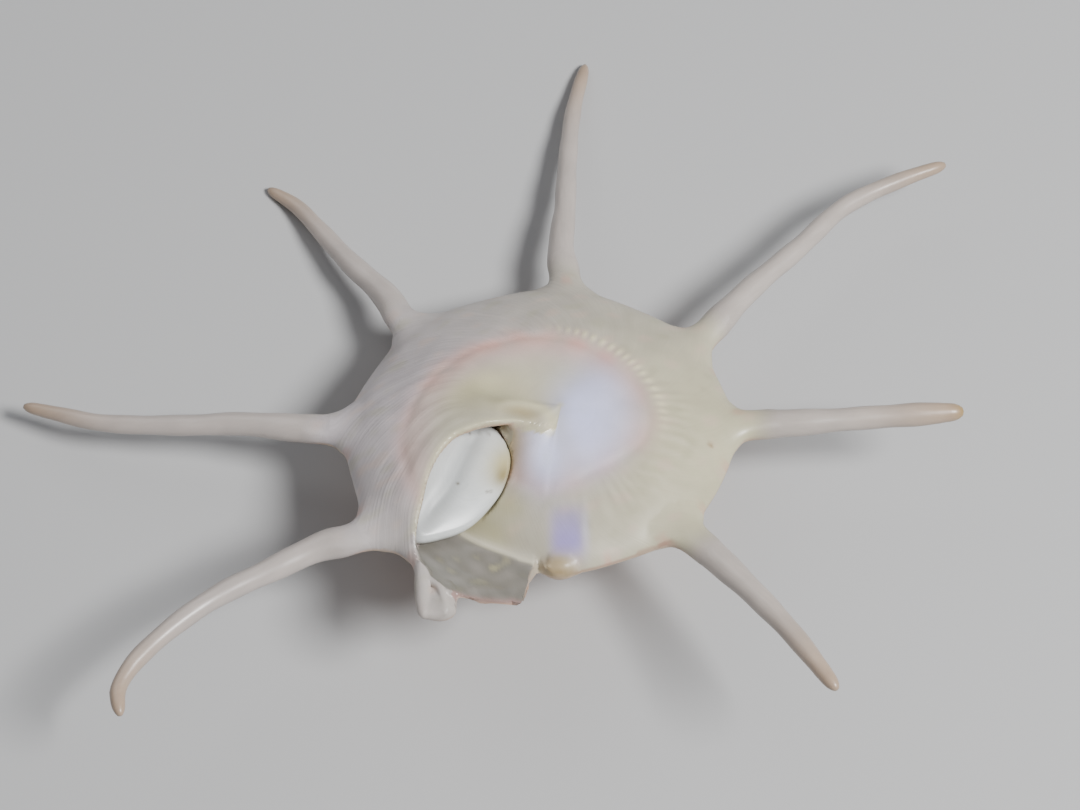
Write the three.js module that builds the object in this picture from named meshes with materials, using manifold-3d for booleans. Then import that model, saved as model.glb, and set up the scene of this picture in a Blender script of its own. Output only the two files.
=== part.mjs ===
// Star turban shell with its operculum, lying on its spire.
//
// The shell is one wall wound around an axis that grows by the same factor
// every turn. Everything is first worked out in the shell's own frame: the
// tip of the spire at z = 0, the base of the shell up, growth running
// counterclockwise seen from the base. At the end the whole is tipped onto
// the three points it rests on.

import * as THREE from 'three';
import { mergeVertices } from 'three/addons/utils/BufferGeometryUtils.js';
import Module from 'manifold-3d';

// Sizes in millimetres, directions in degrees around the shell's axis.
const KEEL_AT_SCAR = 16.4;      // keel radius where the oldest spine broke off
const SCAR_AT = -94;            // direction of that broken spine
const GROWTH_PER_TURN = 1.585;  // every turn is this much larger
const SPIRE_SLOPE = 0.55;       // spire height over keel radius
const LIP_CORNER_AT = 257;      // where the spire side of the lip ends
const LIP_KEEL_AT = 241;        // where the keel ends at the lip
const LIP_EDGE = 22.05;         // distance of the lip's straight edge from the axis
const WALL = 0.9;               // thickness of the shell's wall
const PILLAR_TOP = 16.3;        // height of the callus over the tip of the spire
const TURNS_SHOWN = 5;          // turns of the spire down to its tip
const WEB_DIP = 0.035;          // how far the keel draws in between two spines
const OPERCULUM_GAP = 0.3;      // air between the operculum and the shell
const SPINES_PER_TURN = 8;

const STEP = 5;                 // degrees between two columns of the wall

// Where the shell touches the ground: tipped by this much, towards there.
const TIP_ANGLE = 13.95;
const TIP_TOWARDS = 114.3;

const rad = THREE.MathUtils.degToRad;
const lerp = THREE.MathUtils.lerp;
const smoothstep = THREE.MathUtils.smoothstep;

const wasm = await Module();
wasm.setup();

// Interpolates in a short list of [position, value] pairs.
function follow(pairs, at) {
  if (at <= pairs[0][0]) return pairs[0][1];
  for (let i = 1; i < pairs.length; i++) {
    const [x0, y0] = pairs[i - 1];
    const [x1, y1] = pairs[i];
    if (at <= x1) return lerp(y0, y1, (at - x0) / (x1 - x0));
  }
  return pairs[pairs.length - 1][1];
}

// Spines of the last turn. Each path gives points outside the keel as
// x, y and z in the shell's frame; radius runs from the root to the tip.
const SPINES = [
  { at: -46.4, path: [[17.0, -19.2, 10.2], [21.5, -25.9, 10.1], [25.5, -33.3, 10.0]], tip: 0.75 },
  { at: 2.4, path: [[24.9, 0.5, 10.9], [32.2, 0.6, 11.0], [42.2, 0.6, 11.2]], tip: 1.0 },
  { at: 40, path: [[21.1, 19.4, 11.3], [27.1, 25.3, 11.4], [32.6, 31.0, 11.5],
    [38.7, 34.3, 11.6], [44.7, 36.6, 11.7]], tip: 0.7 },
  { at: 86.8, path: [[0.9, 26.4, 11.7], [1.6, 32.5, 11.8], [2.2, 39.6, 12.0],
    [3.2, 47.6, 12.2], [5.0, 55.3, 12.4]], tip: 0.65 },
  { at: 135.8, path: [[-18.5, 20.6, 12.2], [-22.3, 25.8, 12.1], [-25.8, 31.2, 12.1],
    [-28.4, 35.0, 12.1], [-31.7, 37.9, 12.2]], tip: 0.65 },
  { at: 177.7, path: [[-27.4, 1.7, 12.8], [-33.7, 2.9, 12.6], [-40.1, 3.4, 12.3],
    [-48.6, 4.6, 12.0], [-52.9, 6.2, 11.8], [-57.2, 7.9, 11.6]], tip: 0.65 },
  { at: 213.7, path: [[-25.1, -14.7, 13.4], [-30.1, -17.1, 13.1], [-35.6, -20.0, 12.9],
    [-40.5, -24.0, 12.7], [-43.8, -27.9, 12.5], [-44.9, -30.5, 12.2],
    [-44.5, -33.4, 12.0]], tip: 0.7 },
];
const SPINE_DIRECTIONS = [SCAR_AT, ...SPINES.map((spine) => spine.at), LIP_KEEL_AT];

// The keel: its distance from the axis grows with the angle, and it draws in
// a little between two spines.
function growth(angle) {
  return KEEL_AT_SCAR * Math.pow(GROWTH_PER_TURN, (angle - SCAR_AT) / 360);
}

function betweenSpines(angle) {
  if (angle < SCAR_AT) {
    const passed = (SCAR_AT - angle) / 360 * SPINES_PER_TURN;
    return passed - Math.floor(passed);
  }
  for (let i = 1; i < SPINE_DIRECTIONS.length; i++) {
    const from = SPINE_DIRECTIONS[i - 1];
    const to = SPINE_DIRECTIONS[i];
    if (angle <= to) return (angle - from) / (to - from);
  }
  return 0;
}

function keelRadius(angle) {
  const web = Math.sin(Math.PI * betweenSpines(angle));
  return growth(angle) * (1.01 - WEB_DIP * web * web);
}

// Far end of the wall on the spire side: the keel, or the edge of the lip.
function wallEnd(angle) {
  const keel = keelRadius(angle);
  if (angle <= LIP_KEEL_AT) return keel;
  return Math.min(keel, LIP_EDGE / Math.abs(Math.sin(rad(angle))));
}

// Height of the spire side of a turn at a distance from the axis. The wall
// leaves a groove beside the older keel and then swells out.
function spireHeight(angle, radius) {
  const inner = keelRadius(angle - 360);
  const outer = keelRadius(angle);
  const along = (radius - inner) / (outer - inner);
  const straight = lerp(growth(angle - 360), growth(angle), along) * SPIRE_SLOPE;
  const swell = follow([[0, 0], [0.08, 0.022], [0.25, -0.012], [0.5, -0.03],
    [0.75, -0.024], [0.93, 0.0], [1, 0]], along);
  return straight + swell * growth(angle);
}

// Height of the base side: a low dome that falls to the keel, with the
// callus over the axis at one height for all directions.
const DOME = [[0.3, 0.8], [0.4, 0.8], [0.5, 0.795], [0.6, 0.775], [0.7, 0.745],
  [0.8, 0.705], [0.88, 0.665], [0.94, 0.625], [0.98, 0.585], [1, 0.55]];

function baseHeight(angle, radius) {
  const share = radius / keelRadius(angle);
  const dome = follow(DOME, share) * growth(angle);
  const callus = 1 - Math.pow(smoothstep(radius, 0, 9), 1.5);
  return lerp(dome, PILLAR_TOP, callus);
}

function place(angle, radius, height) {
  const a = rad(angle);
  return new THREE.Vector3(radius * Math.cos(a), radius * Math.sin(a), height);
}

// Collects triangles of one closed body.
class Skin {
  constructor() {
    this.points = [];
  }

  triangle(a, b, c) {
    this.points.push(a, b, c);
  }

  quad(a, b, c, d) {
    this.triangle(a, b, c);
    this.triangle(a, c, d);
  }

  // A grid of rows, each row a list of points of the same length.
  grid(rows, closed = false) {
    for (let i = 1; i < rows.length; i++) {
      const n = rows[i].length;
      for (let j = closed ? 0 : 1; j < n; j++) {
        const k = (j + n - 1) % n;
        this.quad(rows[i - 1][k], rows[i - 1][j], rows[i][j], rows[i][k]);
      }
    }
  }

  // A fan that closes a ring of points with a middle point.
  fan(ring, middle) {
    for (let j = 0; j < ring.length; j++) {
      this.triangle(ring[j], ring[(j + 1) % ring.length], middle);
    }
  }

  solid() {
    const flat = [];
    for (const p of this.points) flat.push(p.x, p.y, p.z);
    let geometry = new THREE.BufferGeometry();
    geometry.setAttribute('position', new THREE.Float32BufferAttribute(flat, 3));
    geometry = mergeVertices(geometry, 1e-4);
    const kept = [];
    const index = geometry.index.array;
    for (let i = 0; i < index.length; i += 3) {
      const [a, b, c] = [index[i], index[i + 1], index[i + 2]];
      if (a !== b && b !== c && c !== a) kept.push(a, b, c);
    }
    const vertProperties = new Float32Array(geometry.attributes.position.array);
    const triVerts = new Uint32Array(kept);
    const mesh = new wasm.Mesh({ numProp: 3, vertProperties, triVerts });
    const body = new wasm.Manifold(mesh);
    if (body.volume() > 0) return body;
    for (let i = 0; i < kept.length; i += 3) {
      [triVerts[i + 1], triVerts[i + 2]] = [triVerts[i + 2], triVerts[i + 1]];
    }
    return new wasm.Manifold(new wasm.Mesh({ numProp: 3, vertProperties, triVerts }));
  }
}

// The wound body without its hollow. It starts and ends at the lip's corner.
function woundBody() {
  const skin = new Skin();
  const first = LIP_CORNER_AT - 360;
  const columns = 360 / STEP;

  // Spire side: one ribbon per turn, from the older keel out to the next.
  const across = [0, 0.08, 0.35, 0.75, 1];
  let lipRow = [];
  for (let turn = 0; turn < TURNS_SHOWN; turn++) {
    const rows = [];
    for (let i = 0; i <= columns; i++) {
      const angle = first + 360 - turn * 360 - (columns - i) * STEP;
      const inner = keelRadius(angle - 360);
      const outer = turn === 0 ? wallEnd(angle) : keelRadius(angle);
      rows.push(across.map((t) => {
        const radius = lerp(inner, outer, t);
        return place(angle, radius, spireHeight(angle, radius));
      }));
    }
    skin.grid(rows);
    if (turn === 0) lipRow = rows[columns];
  }

  // Tip of the spire: the innermost keel closes on the axis.
  const inmost = first - TURNS_SHOWN * 360;
  const cap = [];
  for (let i = 0; i <= columns; i++) {
    const angle = inmost + i * STEP;
    cap.push(place(angle, keelRadius(angle), growth(angle) * SPIRE_SLOPE));
  }
  const tip = new THREE.Vector3(0, 0, 0);
  for (let i = 1; i < cap.length; i++) skin.triangle(tip, cap[i - 1], cap[i]);
  const innerRow = across.map((t) => {
    const radius = lerp(keelRadius(inmost), keelRadius(inmost + 360), t);
    return place(inmost, radius, spireHeight(inmost + 360, radius));
  });
  for (let j = 1; j < innerRow.length; j++) skin.triangle(tip, innerRow[j], innerRow[j - 1]);

  // Base side: from the keel up over the dome to the axis.
  const inwards = [1, 0.98, 0.93, 0.85, 0.74, 0.62, 0.5, 0.4, 0.3, 0.2, 0.1, 0];
  const base = [];
  for (let i = 0; i <= columns; i++) {
    const angle = first + i * STEP;
    const end = wallEnd(angle);
    const low = spireHeight(angle, end);
    base.push(inwards.map((t) => {
      const high = baseHeight(angle, end * t);
      return place(angle, end * t, t === 1 ? low : Math.max(high, low + 0.3));
    }));
  }
  skin.grid(base);

  // The step between the first and the last column.
  const outline = [...lipRow, ...base[columns].slice(1), ...base[0].slice(1, -1).reverse()];
  const flat = outline.map((p) => new THREE.Vector2(Math.hypot(p.x, p.y), p.z));
  const turning = Math.sign(THREE.ShapeUtils.area(flat));
  for (const [a, b, c] of THREE.ShapeUtils.triangulateShape(flat, [])) {
    const same = Math.sign(THREE.ShapeUtils.area([flat[a], flat[b], flat[c]])) === turning;
    skin.triangle(outline[a], outline[same ? b : c], outline[same ? c : b]);
  }
  return skin.solid();
}

// The edge of the lip on the base side, as distance from the axis and
// direction: it is drawn back at the base and reaches forward at the keel and
// in the tooth beside the axis.
const LIP = [[0.6, 250], [3.0, 251], [3.6, 246], [4.4, 232], [5.2, 220], [6.0, 214],
  [7.4, 213.5], [9.3, 208.5], [12.1, 206], [14.5, 210], [16.5, 214.5], [18.9, 220.5],
  [21.5, 225], [24.3, 233]];

// Floor of the hollow: the older turn, then the inside of the spire side. It
// swells into the pillar and beside the blunt end of the operculum.
function floorHeight(angle, radius) {
  const suture = keelRadius(angle - 360);
  const seam = growth(angle - 360) * SPIRE_SLOPE + WALL;
  const pillar = 1.7 * Math.exp(-(((radius - 4.4) / 2.3) ** 2) - ((angle - 224) / 19) ** 2);
  const { x, y } = place(angle, radius, 0);
  const swollen = 2.8 * Math.exp(-(((x + 6.0) / 1.7) ** 2) - ((y + 1.8) / 1.7) ** 2);
  if (radius < suture) {
    return Math.max(baseHeight(angle - 360, radius), seam) + pillar + swollen;
  }
  return Math.max(spireHeight(angle, radius) + WALL, seam - 0.2);
}

// A body between a floor and a ceiling over a grid of columns in plan.
function slab(columns, floor, ceiling) {
  const skin = new Skin();
  const low = columns.map((row) => row.map(([a, r]) => place(a, r, floor(a, r))));
  const high = columns.map((row) => row.map(([a, r]) => place(a, r, ceiling(a, r))));
  const last = columns.length - 1;
  skin.grid(low.map((row, i) => [...row, ...high[i].slice().reverse()]), true);
  skin.grid([high[0], low[0]]);
  skin.grid([low[last], high[last]]);
  return skin.solid();
}

// The hollow of the last turn, up to the lip.
function hollow() {
  const ceiling = (a, r) => Math.max(baseHeight(a, r) - WALL, floorHeight(a, r) + 0.25);
  const columns = [];
  const steps = 22;
  for (let i = 0; i <= steps; i++) {
    const row = [];
    for (const t of [0, 0.12, 0.3, 0.48, 0.66, 0.8, 0.92, 1]) {
      let radius = 15;
      let angle = 200;
      for (let pass = 0; pass < 4; pass++) {
        angle = lerp(75, follow(LIP, radius) + 1.0, i / steps);
        radius = lerp(0.22 * growth(angle), 0.93 * keelRadius(angle), t);
      }
      row.push([angle, radius]);
    }
    columns.push(row);
  }
  return slab(columns, floorHeight, ceiling);
}

// Everything in front of the lip, above the older turn and the spire side.
function mouth() {
  const columns = [];
  const steps = 9;
  for (let i = 0; i <= steps; i++) {
    const row = LIP.map(([r, a]) => [lerp(a, LIP_CORNER_AT + 5, i / steps), r]);
    row.push([lerp(LIP_KEEL_AT - 3, LIP_CORNER_AT + 5, i / steps), 26.2]);
    row.push([lerp(LIP_KEEL_AT, LIP_CORNER_AT + 5, i / steps), 30]);
    columns.push(row);
  }
  return slab(columns, floorHeight, () => 26);
}

// A spine: a tube with a flared root inside the keel and a rounded tip.
function spine(points, radii, flare, sides = 10, rings = 13, broad = 1) {
  const skin = new Skin();
  const curve = new THREE.CatmullRomCurve3(points, false, 'centripetal');
  const length = curve.getLength();
  const up = new THREE.Vector3(0, 0, 1);
  const rows = [];
  for (let i = 0; i <= rings; i++) {
    const t = Math.pow(i / rings, 1.15);
    const at = curve.getPointAt(t);
    const along = curve.getTangentAt(t);
    const side = new THREE.Vector3().crossVectors(along, up).normalize();
    const over = new THREE.Vector3().crossVectors(side, along);
    const away = t * length;
    const radius = follow(radii, away) * (i === rings ? 0.6 : 1);
    const wide = radius * (broad + flare * Math.exp(-away / 2.6));
    const row = [];
    for (let j = 0; j < sides; j++) {
      const a = j / sides * 2 * Math.PI;
      row.push(at.clone().addScaledVector(side, wide * Math.cos(a))
        .addScaledVector(over, radius * Math.sin(a)));
    }
    rows.push(row);
  }
  skin.grid(rows, true);
  const end = curve.getPointAt(1).addScaledVector(curve.getTangentAt(1), 0.3);
  skin.fan(rows[rings], end);
  skin.fan(rows[0].slice().reverse(), points[0]);
  return skin.solid();
}

function longSpine({ at, path, tip }) {
  const keel = growth(at);
  const level = SPIRE_SLOPE * keel + 0.35;
  const points = [place(at, keel - 2.6, level), place(at, keel + 0.4, level)];
  for (const p of path) points.push(new THREE.Vector3(...p));
  const reach = new THREE.CatmullRomCurve3(points).getLength();
  const radii = [[0, 2.0], [3, 1.85], [6, 1.5], [14, 1.22], [reach * 0.8, tip + 0.25],
    [reach, tip]];
  return spine(points, radii, 1.1);
}

// The unfinished spine at the lip: short and broad, with an open channel
// between its raised side and a narrow ridge.
const STUB = [[-12.6, -18.6, 13.1], [-13.1, -21.6, 13.2], [-13.3, -24.5, 13.1]];
const STUB_SIDE = [[-14.8, -18.2, 13.9], [-14.8, -21.5, 13.8], [-14.7, -24.4, 13.4]];
const STUB_RIDGE = [[-14.4, -19.6, 14.2], [-13.0, -21.4, 14.1], [-12.5, -24.3, 13.6]];

function stub() {
  const points = (list) => list.map((p) => new THREE.Vector3(...p));
  const tongue = spine(points(STUB), [[0, 1.2], [7, 1.1]], 0.2, 12, 5, 1.75);
  const side = spine(points(STUB_SIDE), [[0, 0.9], [6, 0.7]], 0, 8, 4);
  return tongue.add(side).add(spine(points(STUB_RIDGE), [[0, 0.4], [6, 0.45]], 0, 6, 4));
}

// The stump of the spine that broke off long ago.
function scar() {
  const keel = growth(SCAR_AT);
  const level = SPIRE_SLOPE * keel + 0.3;
  const path = [place(SCAR_AT, keel - 2, level), place(SCAR_AT, keel + 0.8, level)];
  return spine(path, [[0, 1.5], [3, 1.4]], 0.7, 10, 3);
}

// The operculum: an oval plate with one pointed end, domed outside.
const OPERCULUM_CENTRE = new THREE.Vector3(-10.65, -7.9, 13.2);
const OPERCULUM_FACES = new THREE.Vector3(0.321, -0.381, 0.867);
const OPERCULUM_POINTS = new THREE.Vector3(-0.577, -0.805, -0.139);
const OPERCULUM_RIM = [[7.8, -0.7], [6.3, -2.4], [2.8, -4.1], [-1.0, -4.8], [-4.4, -4.5],
  [-6.7, -2.9], [-7.4, -0.4], [-6.1, 2.0], [-2.9, 3.4], [0.3, 3.5], [3.0, 3.0], [5.4, 1.7]];

function operculumBody(air) {
  const skin = new Skin();
  const up = OPERCULUM_FACES.clone().normalize();
  const u = OPERCULUM_POINTS.clone().projectOnPlane(up).normalize();
  const v = new THREE.Vector3().crossVectors(up, u);
  const rim = new THREE.CatmullRomCurve3(
    OPERCULUM_RIM.map(([a, b]) => new THREE.Vector3(a, b, 0)), true, 'centripetal');
  const layers = [[0.45, -1.0], [0.86, -1.0], [0.98, -0.5], [1, 0.1], [0.95, 0.55],
    [0.8, 0.85], [0.55, 1.05], [0.28, 1.15]];
  const rows = layers.map(([share, height]) => {
    const row = [];
    for (let k = 0; k < 26; k++) {
      const p = rim.getPointAt(k / 26);
      const grow = share + air / Math.hypot(p.x, p.y) * 1.25;
      const lift = height + air * Math.sign(height);
      row.push(OPERCULUM_CENTRE.clone().addScaledVector(u, p.x * grow)
        .addScaledVector(v, p.y * grow).addScaledVector(up, lift));
    }
    return row;
  });
  skin.grid(rows, true);
  skin.fan(rows[rows.length - 1], OPERCULUM_CENTRE.clone().addScaledVector(up, 1.18 + air));
  skin.fan(rows[0].slice().reverse(), OPERCULUM_CENTRE.clone().addScaledVector(up, -1.0 - air));
  return skin.solid();
}

let shellBody = woundBody();
for (const s of SPINES) shellBody = shellBody.add(longSpine(s));
shellBody = shellBody.add(scar());
shellBody = shellBody.subtract(hollow()).subtract(mouth());
shellBody = shellBody.add(stub());
shellBody = shellBody.subtract(operculumBody(OPERCULUM_GAP));

// Turns a finished body into a named mesh.
function mesh(body, name, colour, roughness) {
  const { vertProperties, triVerts } = body.getMesh();
  const geometry = new THREE.BufferGeometry();
  geometry.setAttribute('position', new THREE.BufferAttribute(vertProperties, 3));
  geometry.setIndex(new THREE.BufferAttribute(triVerts, 1));
  const material = new THREE.MeshStandardMaterial({ color: colour, roughness, metalness: 0 });
  const result = new THREE.Mesh(geometry, material);
  result.name = name;
  return result;
}

const group = new THREE.Group();
group.add(mesh(shellBody, 'shell', '#b9b3ae', 0.35));
group.add(mesh(operculumBody(0), 'operculum', '#dcdcd4', 0.3));

// Tip the shell onto its resting points, then centre it over the origin.
const towards = rad(TIP_TOWARDS);
const hinge = new THREE.Vector3(-Math.sin(towards), Math.cos(towards), 0);
const tipping = new THREE.Matrix4().makeRotationAxis(hinge, rad(TIP_ANGLE));
for (const child of group.children) child.geometry.applyMatrix4(tipping);
const box = new THREE.Box3().setFromObject(group);
const centre = box.getCenter(new THREE.Vector3());
for (const child of group.children) child.geometry.translate(-centre.x, -centre.y, -box.min.z);

export default group;
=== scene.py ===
# %% [markdown]
# # A star turban shell, base up
#
# The shell is one wall wound around an axis. Every turn is larger than the last by the same
# factor, so one formula gives the keel, the base and the spire. Long spines grow from the keel.
# The lesson builds the wound body as a grid, adds the spines, cuts the mouth, and then colours
# each part of the surface by where it lies on the shell.

# %% Load the frame
import math
import bmesh
import bpy
import numpy as np
from mathutils import Matrix, Vector


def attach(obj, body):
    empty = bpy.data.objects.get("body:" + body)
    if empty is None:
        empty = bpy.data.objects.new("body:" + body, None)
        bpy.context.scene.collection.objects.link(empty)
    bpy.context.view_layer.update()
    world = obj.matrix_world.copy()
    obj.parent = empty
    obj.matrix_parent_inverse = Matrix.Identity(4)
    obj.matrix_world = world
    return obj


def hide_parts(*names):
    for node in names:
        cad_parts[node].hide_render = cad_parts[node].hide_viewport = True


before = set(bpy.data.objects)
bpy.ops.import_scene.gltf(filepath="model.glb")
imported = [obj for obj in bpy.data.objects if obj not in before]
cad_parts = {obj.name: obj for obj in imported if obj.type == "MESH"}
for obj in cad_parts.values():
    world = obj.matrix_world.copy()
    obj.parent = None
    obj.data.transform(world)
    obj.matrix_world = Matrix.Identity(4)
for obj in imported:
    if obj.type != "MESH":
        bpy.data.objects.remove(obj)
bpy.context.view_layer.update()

# %% [markdown]
# ## The sizes
#
# Millimetres, and degrees around the shell's axis. The tip of the spire is the zero point and the
# base is up. Growth runs counterclockwise seen from the base. The scar is the stump of a spine
# that broke off one turn before the lip. A shell repeats one rule, so these few numbers set the
# whole body, and a change of one of them changes every turn with it.

# %% Sizes of the shell
KEEL_AT_SCAR = 16.4
SCAR_AT = -94.0
GROWTH_PER_TURN = 1.585
SPIRE_SLOPE = 0.55
LIP_CORNER_AT = 257.0
LIP_KEEL_AT = 241.0
print("keel one turn after the scar", round(KEEL_AT_SCAR * GROWTH_PER_TURN, 2), "mm")

# %% [markdown]
# ## Where the spines go
#
# No rule gives the bends of grown spines, so each has its own path. The key is its direction,
# then come the points that its middle line passes and the radius of its tip.

# %% Paths of the seven spines
SPINES = {
    -46.4: ([(17.0, -19.2, 10.2), (21.5, -25.9, 10.1), (25.5, -33.3, 10.0)], 0.75),
    2.4: ([(24.9, 0.5, 10.9), (32.2, 0.6, 11.0), (42.2, 0.6, 11.2)], 1.0),
    40.0: ([(21.1, 19.4, 11.3), (27.1, 25.3, 11.4), (32.6, 31.0, 11.5), (38.7, 34.3, 11.6),
            (44.7, 36.6, 11.7)], 0.7),
    86.8: ([(0.9, 26.4, 11.7), (1.6, 32.5, 11.8), (2.2, 39.6, 12.0), (3.2, 47.6, 12.2),
            (5.0, 55.3, 12.4)], 0.65),
    135.8: ([(-18.5, 20.6, 12.2), (-22.3, 25.8, 12.1), (-25.8, 31.2, 12.1),
             (-28.4, 35.0, 12.1), (-31.7, 37.9, 12.2)], 0.65),
    177.7: ([(-27.4, 1.7, 12.8), (-33.7, 2.9, 12.6), (-40.1, 3.4, 12.3), (-48.6, 4.6, 12.0),
             (-52.9, 6.2, 11.8), (-57.2, 7.9, 11.6)], 0.65),
    213.7: ([(-25.1, -14.7, 13.4), (-30.1, -17.1, 13.1), (-35.6, -20.0, 12.9),
             (-40.5, -24.0, 12.7), (-43.8, -27.9, 12.5), (-44.9, -30.5, 12.2),
             (-44.5, -33.4, 12.0)], 0.7),
}
DIRECTIONS = np.array([SCAR_AT, *SPINES, LIP_KEEL_AT])
print("spines", len(SPINES))

# %% [markdown]
# ## Soft curves
#
# Many forms here are read from a short list of pairs, such as how high the base is at a share of
# its width. Straight pieces between the pairs would show as creases. `follow` averages seven
# shifted readings instead, which rounds the corners and keeps the list easy to change.

# %% Curves from short lists
def follow(pairs, at, soft=0.0):
    xs, ys = np.array(pairs, float).T
    shifts = np.linspace(-soft, soft, 7) if soft else [0.0]
    return sum(np.interp(np.asarray(at) + s, xs, ys) for s in shifts) / len(shifts)


def smoothstep(low, high, x):
    t = np.clip((np.asarray(x, float) - low) / (high - low), 0, 1)
    return t * t * (3 - 2 * t)


def mix(a, b, t):
    return a + (b - a) * t


def hill(x, middle, width):
    return np.exp(-((np.asarray(x) - middle) / width) ** 2)


print("a corner of the list at 0.5 becomes", follow([[0, 0], [0.5, 1], [1, 0]], 0.5, 0.1))

# %% [markdown]
# ## A seeded unevenness
#
# Grown things are never quite even. Noise could do this too, but a sum of a few sine waves with
# seeded directions is calm, has no grid in it, and is the same on every run.

# %% Wobble
DICE = np.random.default_rng(7)


def wobble(p, size, waves=9):
    total = np.zeros(len(p))
    for _ in range(waves):
        way = DICE.normal(size=3)
        way *= 2 * math.pi / size / np.linalg.norm(way) * DICE.uniform(0.7, 1.4)
        total += np.sin(p @ way + DICE.uniform(0, 2 * math.pi))
    return total / math.sqrt(waves)


print("wobble of the zero point", wobble(np.zeros((1, 3)), 5.0))

# %% [markdown]
# ## The keel
#
# The keel is the widest line of a turn, where the spines stand. It moves out by the growth factor
# and draws in a little between two spines, as a tent does between two poles. The lip ends the
# wall in a nearly straight edge, with one small bite near its corner.

# %% The keel and the end of the wall
WEB_DIP = 0.035
LIP_EDGE = 22.05
BITE, BITE_AT = 0.35, 254.6


def growth(angle):
    return KEEL_AT_SCAR * GROWTH_PER_TURN ** ((np.asarray(angle, float) - SCAR_AT) / 360)


def between_spines(angle):
    angle = np.asarray(angle, float)
    older = np.mod((SCAR_AT - angle) / 360 * 8, 1)
    newer = np.mod(np.interp(angle, DIRECTIONS, np.arange(len(DIRECTIONS))), 1)
    return np.where(angle < SCAR_AT, older, newer)


def keel_radius(angle):
    web = np.sin(math.pi * between_spines(angle))
    return growth(angle) * (1.01 - WEB_DIP * web * web)


def wall_end(angle):
    bite = BITE * hill(angle, BITE_AT, 1.0)
    cut = np.minimum(keel_radius(angle), LIP_EDGE / np.abs(np.sin(np.radians(angle)))) - bite
    return np.where(angle <= LIP_KEEL_AT, keel_radius(angle), cut)


for a in DIRECTIONS:
    print(f"keel at {a:6.1f}: {keel_radius(a):5.2f} mm")

# %% [markdown]
# ## The spire side
#
# Under the shell each turn leaves a groove beside the older keel, swells, and carries five rows
# of beads. The beads are real relief, made by cosines along the turn, so they grow with the shell
# and need no piece of their own. The tip is too small for them and stays plain.

# %% Height of the spire side
SWELL = [[0, 0], [0.07, 0.022], [0.22, -0.006], [0.5, -0.03], [0.78, -0.022], [0.93, -0.004],
         [1, 0]]
BEAD_ROWS = [0.17, 0.34, 0.5, 0.66, 0.82]
BEADS_A_TURN = 75
BEAD_DEPTH = 0.013


def spire_height(angle, radius, beads=True):
    inner = keel_radius(angle - 360)
    outer = keel_radius(angle)
    along = (radius - inner) / (outer - inner)
    straight = mix(growth(angle - 360), growth(angle), along) * SPIRE_SLOPE
    ends = smoothstep(0.0, 0.05, along) * smoothstep(1.0, 0.95, along)
    plain_tip = smoothstep(2.2, 4.2, radius)
    height = straight + follow(SWELL, along, 0.03) * growth(angle) * ends * plain_tip
    if beads:
        for k, row in enumerate(BEAD_ROWS):
            cord = hill(along, row, 0.05)
            bead = 0.5 + 0.5 * np.cos(np.radians(angle) * BEADS_A_TURN + k * 2.1)
            deep = growth(angle) * BEAD_DEPTH * cord * (0.3 + 0.7 * bead)
            height = height - deep * plain_tip
    return height


print("spire side at the last keel", float(spire_height(240.0, keel_radius(240.0))))

# %% [markdown]
# ## The dome of the base
#
# The base is a low dome that falls to the keel. Over the axis the animal laid down a callus,
# which is at one height all round. `DOME` gives the height at a share of the way to the keel, as
# a share of the turn's size, so one list serves the old part and the new.

# %% The smooth dome
PILLAR_TOP = 16.3
CALLUS_OUT = 9
DOME = [[0.0, 0.8], [0.4, 0.8], [0.5, 0.795], [0.6, 0.775], [0.7, 0.745], [0.8, 0.705],
        [0.88, 0.665], [0.94, 0.625], [0.98, 0.585], [1, 0.55], [1.02, 0.5]]


def plain_height(angle, radius):
    share = radius / keel_radius(angle)
    dome = follow(DOME, share, 0.02) * growth(angle)
    dome = np.where(share > 0.999, SPIRE_SLOPE * growth(angle), dome)
    return mix(dome, PILLAR_TOP, 1 - smoothstep(0, CALLUS_OUT, radius) ** 1.5)


print("top of the smooth dome", float(plain_height(200.0, 11.0)))

# %% [markdown]
# ## The line of the lip
#
# `LIP` lists where the lip is: a distance from the axis and a direction. Every older lip has left
# its line on the shell, so `growth_line` slides the same curve back around the axis, and fine
# relief and colour can both follow it.

# %% The lip and the lines it leaves
LIP = [[0.6, 250], [3.0, 251], [3.6, 246], [4.4, 232], [5.2, 220], [6.0, 214], [7.4, 213.5],
       [9.3, 208.5], [12.1, 206], [14.5, 210], [16.5, 214.5], [18.9, 220.5], [21.5, 225],
       [24.3, 233], [26.2, 238], [30, 241]]


def growth_line(angle, radius):
    grown = 25.2 / growth(angle)
    return angle - follow(LIP, np.clip(radius * grown, 7.4, 26), 1.0)


print("the lip 12.1 mm from the axis is at", float(follow(LIP, 12.1, 0.5)), "degrees")

# %% [markdown]
# ## Fine relief of the base
#
# Outside the pink ring runs a row of small cream beads, then radial wrinkles, then growth lines.
# A rib stands along the tooth, above a dip. All this is less than a millimetre high. It is added
# to the height of the grid and not to the material, so that it also shows along the edges.

# %% Beads, wrinkles and the tooth's rib
RING = [[-103, 8.2], [-86, 8.0], [-68, 7.5], [-44, 8.1], [-25, 8.9], [-8, 9.1], [8, 8.8],
        [30, 8.3], [55, 8.3], [77, 8.8], [99, 9.4], [126, 10.2], [148, 12.0], [172, 14.3],
        [200, 17.5], [257, 22.0]]
BASE_BEADS = 64


def ripples(x, y):
    return np.sin(0.9 * x + 0.5 * y + 1.7 * np.sin(0.35 * y)) * np.sin(0.7 * y - 0.4 * x + 0.6)


def tooth_rib(x, y):
    return hill(np.hypot(x + 4.0, y + 2.9), 3.0, 0.75) * smoothstep(-7.5, -5.0, x) \
        * smoothstep(-4.2, -2.8, y)


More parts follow.
